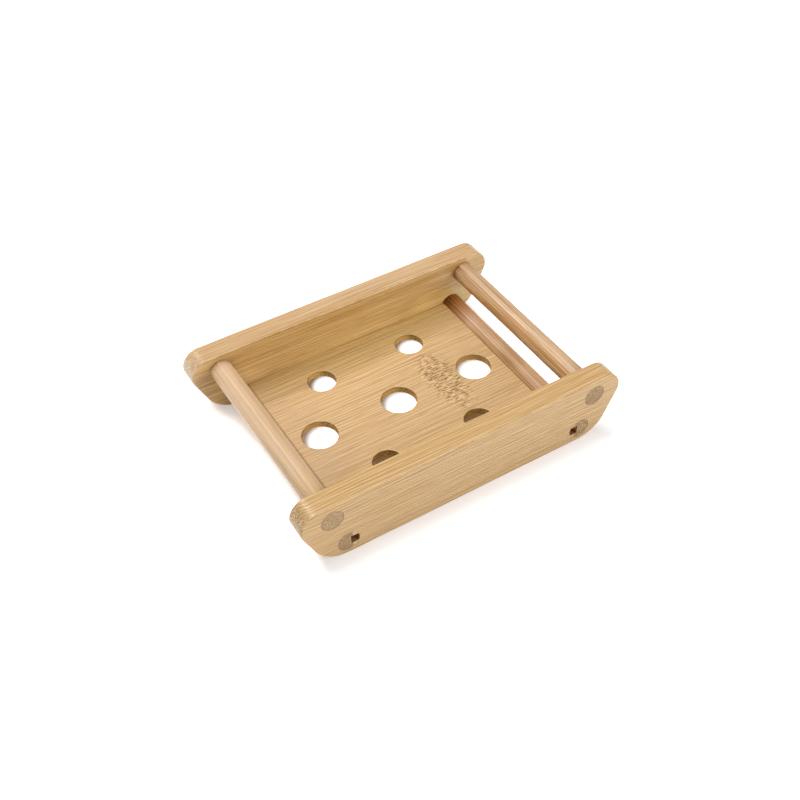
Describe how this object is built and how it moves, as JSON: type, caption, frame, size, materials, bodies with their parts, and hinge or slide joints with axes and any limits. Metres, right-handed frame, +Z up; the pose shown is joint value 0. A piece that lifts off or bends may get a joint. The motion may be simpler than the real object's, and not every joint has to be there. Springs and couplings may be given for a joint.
{
  "type": "soap dish",
  "caption": "Bamboo soap dish: sled-shaped side rails joined by through dowels, with a drilled drain panel between them that holds a bar of soap clear of its water.",
  "frame": {"origin": "on the table, under the middle of the dish", "axes": "+X along the rails, +Y from the front rail to the rear rail, +Z up"},
  "size_m": [0.12, 0.086, 0.0246],
  "materials": {
    "rail_bamboo": "sanded and lightly oiled bamboo, grain along the rail",
    "panel_bamboo": "sanded and lightly oiled bamboo, grain along the dish",
    "pale_dowel_bamboo": "smooth turned bamboo, grain along the dowel",
    "brown_dowel_bamboo": "smooth turned bamboo with brown streaks, grain along the dowel"
  },
  "bodies": {
    "root": {"front_rail": "rail_bamboo", "rear_rail": "rail_bamboo", "drain_panel": "panel_bamboo", "upper_left_dowel": "pale_dowel_bamboo", "upper_right_dowel": "brown_dowel_bamboo", "lower_left_dowel": "pale_dowel_bamboo", "lower_right_dowel": "brown_dowel_bamboo"}
  },
  "joints": []
}
